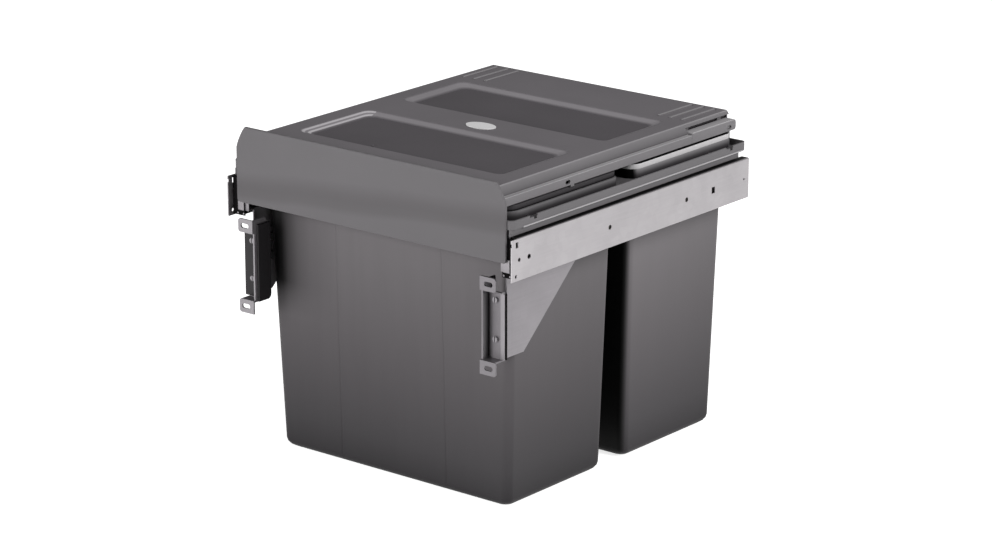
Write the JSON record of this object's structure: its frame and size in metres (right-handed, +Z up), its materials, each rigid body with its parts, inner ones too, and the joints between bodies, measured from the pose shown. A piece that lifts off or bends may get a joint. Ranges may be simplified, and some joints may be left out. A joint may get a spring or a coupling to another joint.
{
  "type": "pull out bin frame",
  "caption": "Pull-out waste bin frame on ball-bearing slides: a tray with front panel, hanging buckets and bag rings, a rear-hinged lid, and slotted brackets for the cabinet door.",
  "frame": {"origin": "centre of the bounding box's base, level with the bucket bottoms", "axes": "+X to the right slide seen from the cabinet's front, +Y rearwards into the cabinet, +Z up"},
  "size_m": [0.418, 0.445, 0.3902],
  "materials": {
    "galvanised_steel": "satin galvanised sheet",
    "zinc_steel": "zinc plated sheet",
    "bright_steel": "polished",
    "cage_steel": "plain pressed strip",
    "black_plastic": "matte moulded",
    "dark_plastic": "matte moulded",
    "lid_plastic": "fine grained moulding",
    "panel_plastic": "fine grained moulding",
    "tray_plastic": "fine grained moulding",
    "bucket_plastic": "smooth moulding",
    "pale_plastic": "satin moulding",
    "badge_plastic": "blank glossy plate"
  },
  "bodies": {
    "cabinet_rails": {"cabinet_rail_left": "galvanised_steel", "cabinet_rail_right": "galvanised_steel"},
    "middle_rails": {"middle_rail_left": "galvanised_steel", "middle_rail_right": "galvanised_steel"},
    "outer_cages": {"outer_ball_cage_left": "cage_steel", "outer_ball_cage_right": "cage_steel", "outer_balls_left": "bright_steel", "outer_balls_right": "bright_steel"},
    "inner_cages": {"inner_ball_cage_left": "cage_steel", "inner_ball_cage_right": "cage_steel", "inner_balls_left": "bright_steel", "inner_balls_right": "bright_steel"},
    "frame": {"inner_rail_left": "galvanised_steel", "inner_rail_right": "galvanised_steel", "slide_buffer_left": "black_plastic", "slide_buffer_right": "black_plastic", "support_bracket_left": "zinc_steel", "support_bracket_right": "zinc_steel", "support_gusset_left": "zinc_steel", "support_gusset_right": "zinc_steel", "slide_rivets": "bright_steel", "door_bracket_left": "zinc_steel", "door_bracket_right": "zinc_steel", "bracket_angle_left": "zinc_steel", "bracket_angle_right": "zinc_steel", "adjuster_cover_left": "dark_plastic", "adjuster_cover_right": "dark_plastic", "adjusting_screws": "bright_steel", "bracket_bolts": "bright_steel", "tray_frame": "tray_plastic", "tray_screws": "bright_steel", "front_panel": "panel_plastic", "panel_screws": "bright_steel", "front_bucket": "bucket_plastic", "rear_bucket": "bucket_plastic", "front_bag_ring": "tray_plastic", "rear_bag_ring": "pale_plastic"},
    "lid": {"lid_cover": "lid_plastic", "hinge_arm_left": "panel_plastic", "hinge_arm_right": "panel_plastic", "hinge_pins": "bright_steel", "lid_badge": "badge_plastic"}
  },
  "joints": [
    {"name": "frame_slide", "type": "slide", "parent": "cabinet_rails", "child": "frame", "axis": [0, -1, 0], "range_m": [0, 0.42]},
    {"name": "middle_rail_slide", "type": "slide", "parent": "cabinet_rails", "child": "middle_rails", "axis": [0, -1, 0], "range_m": [0, 0.21]},
    {"name": "outer_cage_slide", "type": "slide", "parent": "cabinet_rails", "child": "outer_cages", "axis": [0, -1, 0], "range_m": [0, 0.105]},
    {"name": "inner_cage_slide", "type": "slide", "parent": "cabinet_rails", "child": "inner_cages", "axis": [0, -1, 0], "range_m": [0, 0.315]},
    {"name": "lid_hinge", "type": "hinge", "parent": "frame", "child": "lid", "pos_m": [0, 0.2185, 0.365], "axis": [-1, 0, 0], "range_deg": [0, 90]}
  ],
  "couplings": [
    {"joint": "middle_rail_slide", "follows": "frame_slide", "ratio": 0.5},
    {"joint": "outer_cage_slide", "follows": "frame_slide", "ratio": 0.25},
    {"joint": "inner_cage_slide", "follows": "frame_slide", "ratio": 0.75}
  ]
}
